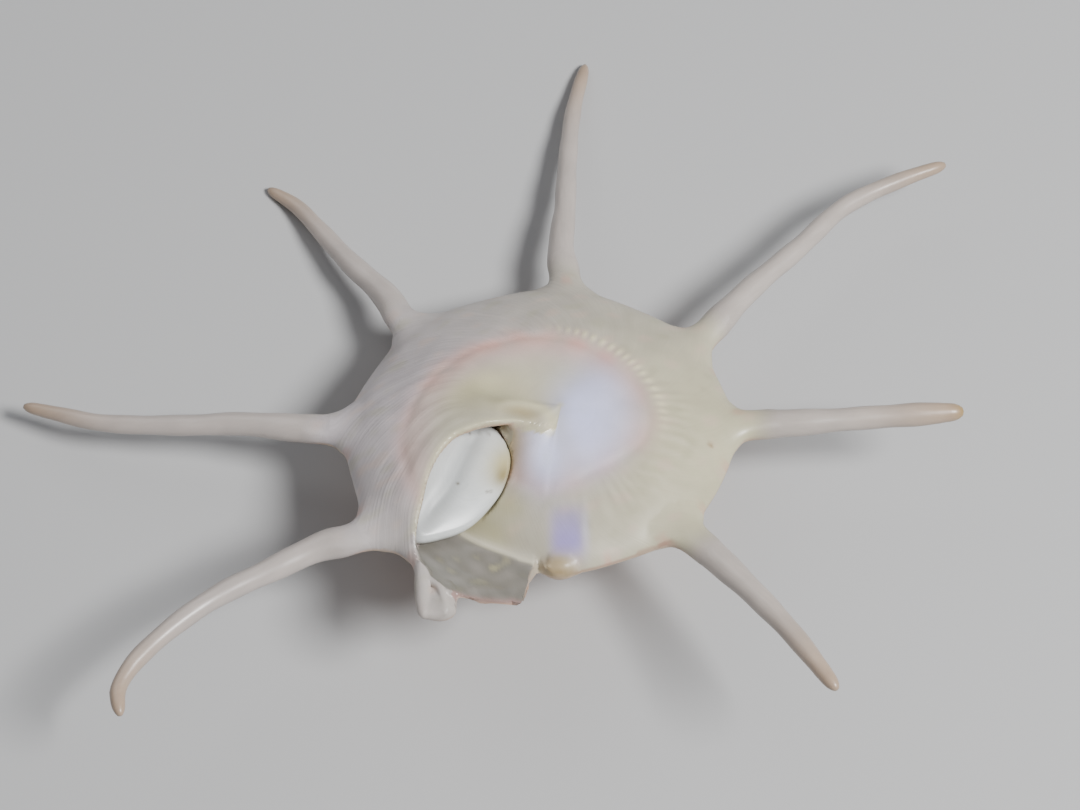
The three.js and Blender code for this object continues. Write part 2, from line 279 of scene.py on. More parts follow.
def beaded(angle, amount):
    turned = np.radians(angle)
    beads = 0.5 + 0.5 * np.cos(turned * BASE_BEADS + np.sin(turned * 9))
    return amount * beads * (smoothstep(-30, 10, angle) * smoothstep(105, 70, angle))


def flat_xy(angle, radius):
    return radius * np.cos(np.radians(angle)), radius * np.sin(np.radians(angle))


def with_relief(height, angle, radius):
    share = radius / keel_radius(angle)
    ring = follow(RING, angle, 6.0)
    height = height + beaded(angle, 0.13 * hill(radius, ring + 1.5, 0.4))
    height = height - 0.12 * hill(radius, ring, 0.5) * smoothstep(0.99, 0.9, share)
    wrinkles = np.sin(np.radians(angle) * 58 + np.sin(np.radians(angle) * 7) * 3)
    right = smoothstep(-95, -60, angle) * smoothstep(40, 5, angle)
    height = height + 0.045 * wrinkles * right * hill(radius, ring + 3.0, 1.8)
    x, y = flat_xy(angle, radius)
    height = height + 0.05 * ripples(x, y) * smoothstep(0.97, 0.9, share)
    line = np.radians(growth_line(angle, radius))
    lines = np.sin(line * 64 + 2 * np.sin(line * 17)) + 0.7 * np.sin(line * 37)
    away = smoothstep(9, 13, radius) * smoothstep(0.97, 0.92, share)
    height = height + 0.028 * lines * away * smoothstep(20, 90, angle)
    dip = np.exp(-((x + 6.2) / 3.6) ** 2 - ((y - 0.8) / 1.7) ** 2)
    height = height - 0.75 * dip * (angle > 100)
    return height + 0.5 * tooth_rib(x, y) * (angle > 100)


print("relief outside the ring", round(float(with_relief(0.0, 40.0, 10.0)), 3), "mm")

# %% [markdown]
# Beside the axis the last turn lies flush on the older one. `base_height` fades from the one to
# the other there, so the callus has no step in it.

# %% Height of the base side
def base_height(angle, radius, fine=True):
    height = plain_height(angle, radius)
    if fine:
        height = with_relief(height, angle, radius)
    flush = smoothstep(4.5, 2.0, radius) * smoothstep(215, 249, angle)
    if np.any(flush > 0):
        height = mix(height, plain_height(angle - 360, radius), flush)
    return height


print("top of the dome behind the lip", float(base_height(200.0, 11.0)))

# %% [markdown]
# ## Closed bodies from grids
#
# Points are computed in rows and columns, and `quads` turns them into triangles. `fan` closes a
# ring of points with one point in its middle.

# %% Triangles from rows of points
def place(angle, radius, height):
    a = np.radians(angle)
    return np.stack(np.broadcast_arrays(radius * np.cos(a), radius * np.sin(a), height), -1)


def quads(rows, closed=False):
    rows = np.asarray(rows)
    if closed:
        rows = np.concatenate([rows, rows[:, :1]], 1)
    a, b = rows[:-1, :-1], rows[:-1, 1:]
    d, c = rows[1:, :-1], rows[1:, 1:]
    return np.concatenate([np.stack([a, b, c], -2).reshape(-1, 3, 3),
                           np.stack([a, c, d], -2).reshape(-1, 3, 3)])


def fan(ring, middle):
    ring = np.asarray(ring)
    after = np.roll(ring, -1, 0)
    return np.stack([ring, after, np.broadcast_to(middle, ring.shape)], 1)


print("a grid of 3 by 4 points gives", len(quads(np.zeros((3, 4, 3)))), "triangles")

# %% [markdown]
# `body` joins lists of triangles into one closed mesh: equal points are merged and triangles
# without an area are dropped. `put` adds an object to the scene. Cutting needs closed meshes, so
# `loose_edges` counts the edges that don't have two faces.

# %% One closed mesh
SAME_POINT = 0.004


def put(name, data):
    obj = bpy.data.objects.new(name, data)
    bpy.context.scene.collection.objects.link(obj)
    return obj


def body(name, parts):
    corners = np.concatenate(parts).reshape(-1, 3)
    _, first, index = np.unique(np.round(corners, 3), axis=0, return_index=True,
                                return_inverse=True)
    faces = index.reshape(-1, 3)
    real = (faces[:, 0] != faces[:, 1]) & (faces[:, 1] != faces[:, 2])
    faces = faces[real & (faces[:, 2] != faces[:, 0])]
    mesh = bpy.data.meshes.new(name)
    mesh.from_pydata(corners[first].tolist(), [], faces.tolist())
    shape = bmesh.new()
    shape.from_mesh(mesh)
    bmesh.ops.remove_doubles(shape, verts=shape.verts, dist=SAME_POINT)
    shape.to_mesh(mesh)
    shape.free()
    return put(name, mesh)


def loose_edges(obj):
    counts = {}
    for face in obj.data.polygons:
        for key in face.edge_keys:
            counts[key] = counts.get(key, 0) + 1
    return sum(1 for n in counts.values() if n != 2)


print("body ready; points within", SAME_POINT, "mm become one")

# %% [markdown]
# ## The spire side of the body
#
# One ribbon per turn, from the older keel out to the next. The inner turns need fewer points.
# Where the number changes, the points of the first column fall together in pairs, and at the
# innermost turn they fall together at its two ends. So neighbouring ribbons share their points.

# %% Ribbons of the spire side
STEP = 1.2
FIRST = LIP_CORNER_AT - 360
COLUMNS = round(360 / STEP)
ACROSS = [24, 24, 12, 12, 6]


def ribbon(turn):
    n = ACROSS[turn]
    i = np.arange(COLUMNS + 1)[:, None]
    angle = FIRST + 360 - turn * 360 - (COLUMNS - i) * STEP
    share = np.tile(np.arange(n + 1) / n, (COLUMNS + 1, 1))
    if turn + 1 == len(ACROSS):
        share[0] = np.round(share[0])
    elif ACROSS[turn + 1] < n:
        share[0] = np.floor(np.arange(n + 1) / 2) * 2 / n
    inner = keel_radius(angle - 360)
    outer = wall_end(angle) if turn == 0 else keel_radius(angle)
    radius = mix(inner, outer, share)
    return place(angle, radius, spire_height(angle, radius))


ribbons = [ribbon(turn) for turn in range(len(ACROSS))]
spire_parts = [quads(r) for r in ribbons]
innermost = ribbons[-1][:, 0]
seam = ribbons[-1][0][::-1]
tip_ring = np.concatenate([innermost, seam[:-1]])
TIP_MIDDLE = np.array([-0.29, 0.07, 0.06])
spire_parts.append(fan(tip_ring, TIP_MIDDLE))
print("triangles of the spire side", sum(len(p) for p in spire_parts))

# %% [markdown]
# ## The base side of the body and the step at the lip
#
# After one turn the wall ends higher and wider than it began. The step between the two ends is
# closed by rows that run from the older end to the newer one. The mouth is cut into this plain
# body later, because the lip is easier to place by cutting than by grid.

# %% The wound body
THINNEST = 0.3
INWARDS = np.concatenate([[1, 0.995, 0.985], np.linspace(0.97, 0.0, 58)])
angle = FIRST + np.arange(COLUMNS + 1)[:, None] * STEP
end = wall_end(angle)
low = spire_height(angle, end)
radius = end * INWARDS[None, :]
high = np.maximum(base_height(angle, radius), low + THINNEST)
high = np.where(INWARDS[None, :] == 1, low, high)
base = place(angle, radius, high)
base[:, -1] = (0, 0, PILLAR_TOP)

older, newer = base[0], base[-1]
rim = ribbons[0][-1]
step_parts = [quads(np.stack([newer, older])), fan(rim, older[0])[:-1]]
wound = body("wound body", [*spire_parts, quads(base), *step_parts])
print("open edges of the body", loose_edges(wound), "faces", len(wound.data.polygons))

# %% [markdown]
# ## The spines
#
# A spine is a tube along a smooth curve. A curve object with a bevel could make it, but the root
# is flared sideways and the tip rounded, so the rings are computed. The knots of `smooth_path`
# are spaced by the root of the distance, which keeps close points from looping.

# %% A smooth line through points
def smooth_path(points, count):
    p = np.array(points, float)
    p = np.concatenate([[2 * p[0] - p[1]], p, [2 * p[-1] - p[-2]]])
    knots = np.concatenate([[0], np.cumsum(np.linalg.norm(np.diff(p, axis=0), axis=1) ** 0.5)])
    out = []
    for i in range(1, len(p) - 2):
        t = np.linspace(knots[i], knots[i + 1], 40, endpoint=i == len(p) - 3)[:, None]
        k = knots[i - 1:i + 3]
        a = [p[i - 1 + j] * (k[j + 1] - t) / (k[j + 1] - k[j])
             + p[i + j] * (t - k[j]) / (k[j + 1] - k[j]) for j in range(3)]
        b = [a[j] * (k[j + 2] - t) / (k[j + 2] - k[j])
             + a[j + 1] * (t - k[j]) / (k[j + 2] - k[j]) for j in range(2)]
        out.append(b[0] * (k[2] - t) / (k[2] - k[1]) + b[1] * (t - k[1]) / (k[2] - k[1]))
    line = np.concatenate(out)
    run = np.concatenate([[0], np.cumsum(np.linalg.norm(np.diff(line, axis=0), axis=1))])
    at = np.linspace(0, run[-1], count)
    return np.stack([np.interp(at, run, line[:, k]) for k in range(3)], 1), at


print("a line of three points becomes", len(smooth_path([(0, 0, 0), (1, 0, 0), (2, 1, 0)], 9)[0]))

# %% [markdown]
# `blunt` says how flat the end is, `flare` how much wider the root is than it is thick, and
# `broad` how much wider the whole tube is.

# %% A tube with a flared root
def tube(points, radii, flare, sides=22, every=0.55, blunt=0.0, broad=1.0):
    length = sum(np.linalg.norm(np.subtract(a, b)) for a, b in zip(points, points[1:]))
    line, at = smooth_path(points, max(6, round(length / every)))
    along = np.gradient(line, axis=0)
    along /= np.linalg.norm(along, axis=1)[:, None]
    side = np.cross(along, (0, 0, 1))
    side /= np.linalg.norm(side, axis=1)[:, None]
    over = np.cross(side, along)
    radius = follow(radii, at, 0.8)
    round_end = np.sqrt(np.clip((at[-1] - at) / (radii[-1][1] * (1 - blunt) + 0.01), 0.02, 1))
    radius = radius * (1 + 0.03 * np.sin(at * 1.1 + points[0][0])) * round_end
    wide = radius * (broad + flare * np.exp(-at / 2.6))
    turn = np.linspace(0, 2 * math.pi, sides, endpoint=False)[None, :, None]
    rings = (line[:, None] + side[:, None] * wide[:, None, None] * np.cos(turn)
             + over[:, None] * radius[:, None, None] * np.sin(turn))
    return [quads(rings, closed=True), fan(rings[-1], line[-1] + along[-1] * 0.05),
            fan(rings[0][::-1], line[0])]


bent = tube([(0, 0, 0), (0, 5, 0), (1, 9, 0)], [[0, 1.0], [9, 0.5]], 0.5)
print("triangles of a bent tube 9 mm long", sum(len(t) for t in bent))

# %% [markdown]
# Each root starts inside the keel, so that the joined body has no gap. The stump at the scar is a
# short plug of the same kind, blunt and smoothed by age.

# %% The seven spines and the scar
ROOT_DEPTH = 2.6


def spine(at, path, tip):
    keel = float(growth(at))
    level = SPIRE_SLOPE * keel + 0.35
    points = [place(at, keel - ROOT_DEPTH, level), place(at, keel + 0.4, level), *path]
    reach = 3 + sum(np.linalg.norm(np.subtract(a, b)) for a, b in zip(points[1:], points[2:]))
    radii = [[0, 2.0], [3, 1.85], [6, 1.5], [14, 1.22], [reach * 0.8, tip + 0.25], [reach, tip]]
    return tube([tuple(p) for p in points], radii, 1.1, blunt=0.7 if tip > 0.9 else 0.0)


tubes = [part for at, (path, tip) in SPINES.items() for part in spine(at, path, tip)]
scar_level = SPIRE_SLOPE * float(growth(SCAR_AT)) + 0.3
scar_path = [tuple(place(SCAR_AT, growth(SCAR_AT) + d, scar_level)) for d in (-2.0, 0.8)]
tubes += tube(scar_path, [[0, 1.5], [2.8, 1.45]], 0.7, blunt=0.8)
spines = body("spines", tubes)
print("open edges of the spines", loose_edges(spines))

# %% [markdown]
# ## The mouth
#
# The lip is drawn back on the base side and reaches forward at the keel, where it leaves a shelf.
# Two bodies are cut away: the hollow behind the lip, and all that lies in front of it above the
# older turn and the shelf. Both stand on one floor, so that floor is written once: the base of
# the older turn, then the inside of the spire side, with a small ridge where the two meet, the
# pillar, and the swollen tooth. The shelf gets thin towards its edge.

# %% The floor of the mouth
WALL = 0.9
THIN_EDGE = 0.35


def floor_height(angle, radius, fine=True):
    suture = keel_radius(angle - 360)
    seam = growth(angle - 360) * SPIRE_SLOPE + WALL
    older = np.maximum(base_height(angle - 360, np.minimum(radius, suture), fine), seam)
    thin = mix(THIN_EDGE, 1.0, smoothstep(0.0, 2.2, wall_end(angle) - radius))
    thin = np.where(angle > 243, thin, 1.0)
    shelf = np.maximum(spire_height(angle, radius, False) + WALL * thin, seam - 0.2)
    ridge = 0.45 * hill(radius, suture - 0.2, 0.5)
    pillar = 1.7 * hill(radius, 4.4, 2.3) * hill(angle, 224, 19)
    x, y = flat_xy(angle, radius)
    swollen = 2.8 * hill(x, -6.0, 1.7) * hill(y, -1.8, 1.7)
    return np.where(radius < suture, older, shelf) + ridge + pillar + swollen


def slab(name, angle, radius, floor, ceiling):
    low = place(angle, radius, floor)
    high = place(angle, radius, ceiling)
    ring = np.concatenate([low, high[:, ::-1]], 1)
    return body(name, [quads(ring, closed=True), quads(np.stack([high[0], low[0]])),
                       quads(np.stack([low[-1], high[-1]]))])


print("floor beside the pillar", float(floor_height(225.0, 8.0)), "mm")

# %% [markdown]
# The hollow goes back about half a turn, as far as light gets in. Its mouth end follows the lip,
# and the lip depends on the distance from the axis. A few rounds of taking one from the other
# bring both to rest.

# %% The hollow behind the lip
HOLLOW_FROM = 75.0
share = np.linspace(0, 1, 34)[None, :]
back = np.concatenate([np.linspace(0, 0.6, 20), np.linspace(0.62, 1, 40)])[:, None]
radius = np.full((len(back), share.shape[1]), 15.0)
for _ in range(6):
    angle = mix(HOLLOW_FROM, follow(LIP, radius, 0.7) + 1.0, back)
    radius = mix(0.22 * growth(angle), 0.93 * keel_radius(angle), share)
under = floor_height(angle, radius, False)
hollow = slab("hollow", angle, radius, under,
              np.maximum(base_height(angle, radius, False) - WALL, under + 0.25))
print("open edges of the hollow", loose_edges(hollow))

# %% [markdown]
# The second cutter takes away what is in front of the lip. It reaches far above the shell.

# %% The space in front of the lip
CUT_TOP = 26.0
radius = np.concatenate([np.linspace(0.6, 26, 68), [28.0, 30.0]])[None, :]
front = np.linspace(0, 1, 46)[:, None]
angle = mix(follow(LIP, radius, 0.5), LIP_CORNER_AT + 5, front)
radius = np.broadcast_to(radius, angle.shape)
mouth = slab("mouth", angle, radius, floor_height(angle, radius), np.full(angle.shape, CUT_TOP))
print("open edges of the mouth", loose_edges(mouth))

# %% [markdown]
# ## The short spine at the lip
#
# The last spine isn't finished. It is a short, blunt spout whose channel is still open. Three
# tubes make it: a broad one for the floor of the channel, and one along each of its sides.

# %% The unfinished spine
STUB = [(-12.6, -18.6, 11.9), (-13.1, -21.6, 13.1), (-13.3, -24.5, 13.1)]
STUB_SIDE = [(-14.8, -18.2, 13.9), (-14.8, -21.5, 13.8), (-14.7, -24.4, 13.4)]
STUB_RIDGE = [(-14.4, -19.6, 13.9), (-13.0, -21.4, 14.2), (-12.5, -24.3, 13.7)]
stub = body("stub", tube(STUB, [[0, 0.5], [2.5, 1.0], [7, 1.1]], 0.2, every=0.3, blunt=0.5,
                         broad=1.75))
stub_side = body("side", tube(STUB_SIDE, [[0, 0.9], [6, 0.7]], 0.0, every=0.3, blunt=0.5))
stub_ridge = body("ridge", tube(STUB_RIDGE, [[0, 0.4], [6, 0.45]], 0.0, sides=12, every=0.3))
print("stub from", STUB[0], "to", STUB[-1])

# %% [markdown]
# ## The operculum
#
# The animal closed its mouth with a limy plate: oval, pointed at one end, domed outside, with a
# shallow trough along it. `FACES` is the way it looks and `POINTS` the way its point lies. It
# stays in the mouth at a fixed place, so it is built there, and measured along its own axes.

# %% Place and outline of the operculum
CENTRE = np.array([-10.65, -7.9, 13.2])
FACES = np.array([0.321, -0.381, 0.867]) / np.linalg.norm([0.321, -0.381, 0.867])
POINTS = np.array([-0.577, -0.805, -0.139])
POINTS = POINTS - FACES * (POINTS @ FACES)
POINTS /= np.linalg.norm(POINTS)
ACROSS_IT = np.cross(FACES, POINTS)
RIM = [(7.8, -0.7), (6.3, -2.4), (2.8, -4.1), (-1.0, -4.8), (-4.4, -4.5), (-6.7, -2.9),
       (-7.4, -0.4), (-6.1, 2.0), (-2.9, 3.4), (0.3, 3.5), (3.0, 3.0), (5.4, 1.7)]


def rim_points(count):
    p = np.array([*RIM[-2:], *RIM, *RIM[:3]], float)
    line, _ = smooth_path([(x, y, 0) for x, y in p], 1400)
    first = np.argmin(np.hypot(*(line[:700, :2] - RIM[0]).T))
    last = 700 + np.argmin(np.hypot(*(line[700:, :2] - RIM[0]).T))
    pick = np.linspace(first, last, count, endpoint=False).round().astype(int)
    return line[pick, :2]


def trough_line(u):
    return follow([[-6, -2.3], [-3.7, -1.9], [1.4, -1.0], [5.7, -1.2], [8, -1.1]], u, 1.0)


print("operculum", np.ptp(np.array(RIM), axis=0), "mm")

# %% [markdown]
# The plate is a stack of rings, each a smaller copy of the outline. A second one, with air all
# round, is cut from the shell, so the plate touches nothing.

# %% The plate and its seat
UNDER_AND_RIM = [(0.3, -1.0), (0.6, -1.0), (0.84, -0.98), (0.93, -0.9), (0.975, -0.72),
                 (0.995, -0.45), (1.0, 0.0), (0.995, 0.3), (0.98, 0.5), (0.95, 0.68)]
AIR = 0.18


def operculum_body(name, air=0.0, count=120):
    edge = rim_points(count)
    far = np.hypot(edge[:, 0], edge[:, 1])[:, None]
    rows = []
    for s, h in [*UNDER_AND_RIM, *((s, None) for s in np.linspace(0.9, 0.06, 20))]:
        uv = edge * (s + air / far * 1.2)
        if h is None:
            h = 1.12 - 0.38 * s ** 4
            trough = 0.3 * hill(uv[:, 1], trough_line(uv[:, 0]), 1.0)
            h = h - trough * smoothstep(1.0, 0.6, s)
        h = h + air * np.sign(h)
        h = np.broadcast_to(h, len(uv))
        rows.append(CENTRE + uv[:, :1] * POINTS + uv[:, 1:] * ACROSS_IT + h[:, None] * FACES)
    top = CENTRE + (1.0 + air) * FACES
    return body(name, [quads(rows, closed=True), fan(rows[-1], top),
                       fan(rows[0][::-1], CENTRE - (1.0 + air) * FACES)])


operculum = operculum_body("operculum plate")
seat = operculum_body("seat", air=AIR, count=60)
print("open edges of the operculum", loose_edges(operculum), loose_edges(seat))

# %% [markdown]
# ## Joining and cutting
#
# Booleans join the spines to the body and cut the mouth. The exact solver is slow on fine meshes.
# The manifold solver is fast and clean, and asks only for closed bodies whose faces look
# outwards, which `outward` sees to.

# %% Booleans
def outward(obj):
    shape = bmesh.new()
    shape.from_mesh(obj.data)
    volume = shape.calc_volume(signed=True)
    shape.free()
    if volume < 0:
        obj.data.flip_normals()
    return abs(volume)


def combine(obj, tool, how):
    outward(tool)
    step = obj.modifiers.new("step", "BOOLEAN")
    step.operation = how
    step.solver = "MANIFOLD"
    step.object = tool
    graph = bpy.context.evaluated_depsgraph_get()
    done = bpy.data.meshes.new_from_object(obj.evaluated_get(graph))
    obj.modifiers.clear()
    obj.data = done
    bpy.data.objects.remove(tool)


print("solid volume", round(outward(wound)), "mm3")
combine(wound, spines, "UNION")
for cutter in (hollow, mouth):
    combine(wound, cutter, "DIFFERENCE")
for piece in (stub, stub_side, stub_ridge):
    combine(wound, piece, "UNION")
combine(wound, seat, "DIFFERENCE")
print("faces of the shell", len(wound.data.polygons))

# %% [markdown]
# ## Soft edges
#
# A grown shell has no sharp seams, but cuts leave them. A bevel fails on such a dense mesh. So
# points near a sharp fold move towards the middle of their neighbours instead. `read_all` copies
# one value of every point at once, `folded` marks the folds, `spread` widens the marks and
# `relax` moves the points.

# %% Reading and relaxing points
def read_all(items, field, size, kind=float):
    values = np.empty(len(items) * size, kind)
    items.foreach_get(field, values)
    return values.reshape(-1, size)


def folded(obj, degrees):
    shape = bmesh.new()
    shape.from_mesh(obj.data)
    mark = np.zeros(len(shape.verts))
    for edge in shape.edges:
        if len(edge.link_faces) == 2 and edge.calc_face_angle(0) > math.radians(degrees):
            for v in edge.verts:
                mark[v.index] = 1
    shape.free()
    return mark


def spread(values, edges, times):
    for _ in range(times):
        top = values.copy()
        np.maximum.at(top, edges[:, 0], values[edges[:, 1]] * 0.9)
        np.maximum.at(top, edges[:, 1], values[edges[:, 0]] * 0.9)
        values = top
    return values


def relax(p, edges, weight, times):
    n = len(p)
    count = np.bincount(edges.ravel(), minlength=n)[:, None]
    for _ in range(times):
        total = np.stack([np.bincount(edges[:, 0], p[edges[:, 1], k], n)
                          + np.bincount(edges[:, 1], p[edges[:, 0], k], n) for k in range(3)], 1)
        p = p + (total / np.maximum(count, 1) - p) * weight[:, None] * 0.6
    return p


def polar(p):
    bearing = np.degrees(np.arctan2(p[:, 1], p[:, 0]))
    return np.hypot(p[:, 0], p[:, 1]), np.where(bearing < FIRST, bearing + 360, bearing)


print("points of the shell", len(wound.data.vertices))

# %% [markdown]
# The roots of the spines are smoothed the most, and so is the callus over the seam of the grid.
# The free edge of the shelf and the tip of the spire are left alone, because smoothing would pull
# them in.

# %% Softening the shell
FOLD = 28
FOLD_ROUNDS, ROOT_ROUNDS, CALLUS_ROUNDS = 5, 22, 24
bpy.context.view_layer.update()
p = read_all(wound.data.vertices, "co", 3)
edges = read_all(wound.data.edges, "vertices", 2, int)
sharp = folded(wound, FOLD)
far, bearing = polar(p)
near_root = sum(hill((bearing - a) * np.radians(1) * 21, 0, 5.0) for a in SPINES)
near_root = np.clip(near_root, 0, 1) * smoothstep(3.5, 0.5, np.abs(far - keel_radius(bearing)))
free_edge = smoothstep(245, 247, bearing) * (far > 19)
soft = np.clip(spread(sharp, edges, 3), 0, 1) * 0.8 * (1 - free_edge)
soft = np.where((far < 4) & (p[:, 2] < 5), 0, soft)
p = relax(p, edges, soft, FOLD_ROUNDS)
p = relax(p, edges, near_root, ROOT_ROUNDS)
off_seam = np.radians(bearing - LIP_CORNER_AT)
seam_band = hill(far * np.sin(off_seam), 0, 1.1) * (np.cos(off_seam) > 0) * (far < 14)
pillar = np.maximum(smoothstep(7.5, 4.5, far), seam_band * smoothstep(15, 11, far))
p = relax(p, edges, pillar * (p[:, 2] > 11), CALLUS_ROUNDS)
wound.data.vertices.foreach_set("co", p.ravel())
wound.data.update()
print("points", len(p), "near a fold", int(sharp.sum()))

# %% [markdown]
# ## Where each point lies
#
# The colours need to know the zone of each point. Painting by hand would be lost with every
# change of shape, so the zones come from the same curves: the lip, the ring, the keel.

# %% Zones of the surface
x, y, z = p.T
up = read_all(wound.data.vertices, "normal", 3)[:, 2]
far, bearing = polar(p)
roof = base_height(bearing, np.minimum(far, keel_radius(bearing)), False)
lip_at = follow(LIP, far, 0.5)
in_front = (bearing > lip_at - 1.5) & (z < roof - 0.45)
suture = keel_radius(bearing - 360)
older = in_front & (far < suture + 0.3) & (bearing > 200)
age = np.where(older, bearing - 360, bearing)
shelf = in_front & (far >= suture + 0.3) & (far < 26) & (up > 0) & (bearing > 218)
beyond = far - keel_radius(bearing)
on_spine = smoothstep(0.6, 4.0, beyond)
under = smoothstep(0.1, -0.3, up) * (1 - on_spine)
ring = follow(RING, age, 6.0)
print("points in the mouth", int(in_front.sum()), "on the spines", int((beyond > 1).sum()))

# %% [markdown]
# ## Colours of the shell
#
# Each layer of colour is laid over the last one, with a weight between 0 and 1. Colours are
# written as a screen shows them and turned into the light that Blender works with. Every layer
# has a name.

# %% Laying colour
def from_screen(rgb):
    c = np.array(rgb, float) / 255
    return np.where(c < 0.04045, c / 12.92, ((c + 0.055) / 1.055) ** 2.4)


def lay(colour, rgb, weight):
    weight = np.clip(np.asarray(weight, float), 0, 1)[:, None]
    return colour + (from_screen(rgb) - colour) * weight


def spot(px, py, width, height=None):
    return np.exp(-((x - px) / width) ** 2 - ((y - py) / (height or width)) ** 2)


def lay_all(colour, layers):
    for rgb, weight in layers.values():
        colour = lay(colour, rgb, weight)
    print("laid", ", ".join(layers))
    return colour


print("a screen's middle grey is", from_screen((128, 128, 128)).round(3))

# %% [markdown]
# The base is greyish cream, bluer on one half and yellower on the other, with soft clouds and
# pale streaks. Around the callus runs the pink ring, strongest where it is farthest from the
# mouth.

# %% Base and pink ring
n = len(p)
top = (up > -0.1) & ~shelf
inside = smoothstep(0.8, -1.2, far - ring) * top * (age > -103)
radial = np.sin(np.radians(age) * 41 + 2.5 * wobble(p, 9.0)) * hill(age, -40, 60)
clouds = wobble(p, 3.2)
reds = 0.45 + 0.55 * smoothstep(15, 50, age) * smoothstep(185, 160, age)
patchy = np.clip(0.7 + 0.35 * wobble(p, 4.0), 0, 1)
tint = lay_all(np.tile(from_screen((182, 178, 170)), (n, 1)), {
    "bluish half": ((192, 187, 188), hill(age, 175, 70)),
    "yellowish half": ((194, 190, 172), hill(age, -15, 75)),
    "pale streaks": ((214, 208, 194),
                     np.clip(radial, 0, 1) * hill(far, ring + 3.2, 2.2) * 0.3),
    "warm clouds": ((206, 190, 180), smoothstep(0.5, 1.6, clouds) * 0.35 * top),
    "dark clouds": ((170, 168, 150), smoothstep(-0.5, -1.6, clouds) * 0.35 * top),
    "cream inside the ring": ((192, 188, 172), inside * 0.8),
    "ochre behind the tooth": ((190, 184, 158), inside * spot(-8.0, 1.0, 5.0, 3.0) * 0.7),
    "pale pink band": ((206, 190, 190), hill(far, ring - 1.5, 2.1) * 0.55 * top),
    "pink ring": ((204, 174, 168), hill(far, ring - 0.3, 1.6) * reds * patchy * 0.6 * top),
    "red middle of the ring": ((202, 168, 160),
                               hill(far, ring, 0.7) * reds * patchy * 0.4 * top),
})

# %% [markdown]
# The callus is lavender white, the pillar beside the mouth is white, and the beads are cream. A
# violet patch lies towards the scar, with one pale streak of painted highlight on it.

# %% Callus, pillar and violet patch
crescent = hill(far, 4.6, 2.9) * smoothstep(-100, -60, age) * smoothstep(80, 30, age)
roof_side = (age > 100) & ~in_front
fade = smoothstep(8.5, 11, far) * smoothstep(257, 232, bearing)
violet = np.exp(-((x + 0.1) / 1.8) ** 4 - ((y + 12.9) / 2.5) ** 4)
deeper = smoothstep(-10.5, -15.0, y)
tint = lay_all(tint, {
    "lavender callus": ((216, 216, 236), crescent * 0.75 * top),
    "white over the axis": ((224, 226, 250), spot(2.0, -0.8, 2.9, 4.6) * 0.95 * top),
    "cream beads": ((222, 216, 196), beaded(age, hill(far, ring + 1.5, 0.55)) * top),
    "shade in the dip": ((160, 158, 144), spot(-6.2, 0.8, 3.4, 1.5) * (age > 100) * 0.6),
    "tan beside the rib": ((178, 168, 144), spot(-4.0, -1.6, 2.2, 1.6) * roof_side * 0.8),
    "cream rib": ((216, 211, 190), tooth_rib(x, y) * roof_side * 0.9),
    # painted highlight: the end of the rib is whitened where light catches its point
    "painted highlight on the rib's end": ((236, 228, 212), spot(-1.2, -3.0, 0.6) * roof_side * 0.9),
    "white pillar": ((230, 232, 253), spot(-1.7, -5.2, 2.2, 3.2) * ~roof_side * 0.97),
    "tan tooth": ((170, 160, 136), spot(-5.8, -3.0, 1.6, 2.4) * ~roof_side * 0.9),
    "olive floor": ((168, 164, 142), older * fade * (0.8 + 0.15 * wobble(p, 3.0))),
    "violet patch": ((164, 156, 202), violet * mix(0.5, 0.85, deeper) * top),
    # painted highlight: a pale streak stands for a glint on the violet patch
    "painted glint on the violet patch": ((220, 218, 226), spot(1.75, -12.8, 0.4, 2.0) * 0.5 * top),
    "brown dot": ((130, 112, 92), spot(15.2, -3.1, 0.26) * 0.9),
    "dashes on the keel": ((196, 164, 154),
                           hill(beyond, -0.2, 0.7) * (np.sin(age * 0.31) > 0.86) * 0.4),
})

# %% [markdown]
# Grey pearl lies inside the lip, with pink along the free edge of the shelf and cream along the
# lip and the ridge. The old scar is closed by a tan plug with paler rings.

# %% Pearl, lip and scar
patches = wobble(p, 2.2)
near_end = hill(far, wall_end(bearing), 0.5) * (bearing > 240)
lip_edge = hill((bearing - lip_at) * np.radians(1) * far, 0, 0.7) * (z > roof - 1.3)
keel_band = hill(beyond, 0.1, 0.7) * (up < 0.5) * smoothstep(-93, -88, age)
scar = hill((age - SCAR_AT) * np.radians(1) * 16, 0, 1.8) * smoothstep(-1.6, -0.4, beyond)
bands = 0.5 + 0.5 * np.sin((far - 15.2) * 7)
plug = spot(-1.15, -16.8, 1.6, 1.5) * (far < 20) * (age < 0)
tint = lay_all(tint, {
    "grey pearl": ((122, 120, 115), shelf * (0.9 + 0.1 * patches)),
    "cream pearl": ((176, 172, 152), shelf * smoothstep(0.4, 1.5, patches)
                    * spot(-9.0, -15.5, 5.0, 3.0) * 0.8),
    "pink shelf edge": ((178, 152, 148), near_end * shelf * 0.6),
    "cream ridge": ((212, 208, 196), hill(far, suture - 0.1, 0.45) * in_front * (bearing > 225)),
    "cream lip": ((206, 202, 182), lip_edge * (far < 22) * 0.7),
    "brown keel": ((158, 136, 126), keel_band * smoothstep(-48, -56, age) * 0.9),
    "grey scar": ((146, 138, 124), scar * (far < 20)),
    "tan plug": ((148, 134, 112), plug * 0.9),
    "rings of the plug": ((186, 178, 160), plug * bands * 0.6),
})

# %% [markdown]
# The spire side is salmon to bronze with pale beads. The spines are cream with darker tips, and
# the broken tip of one of them is brown.

# %% Spire side and spines
def near(points, reach):
    return sum(np.exp(-((p - np.array(q)) ** 2).sum(1) / reach ** 2) for q in points)


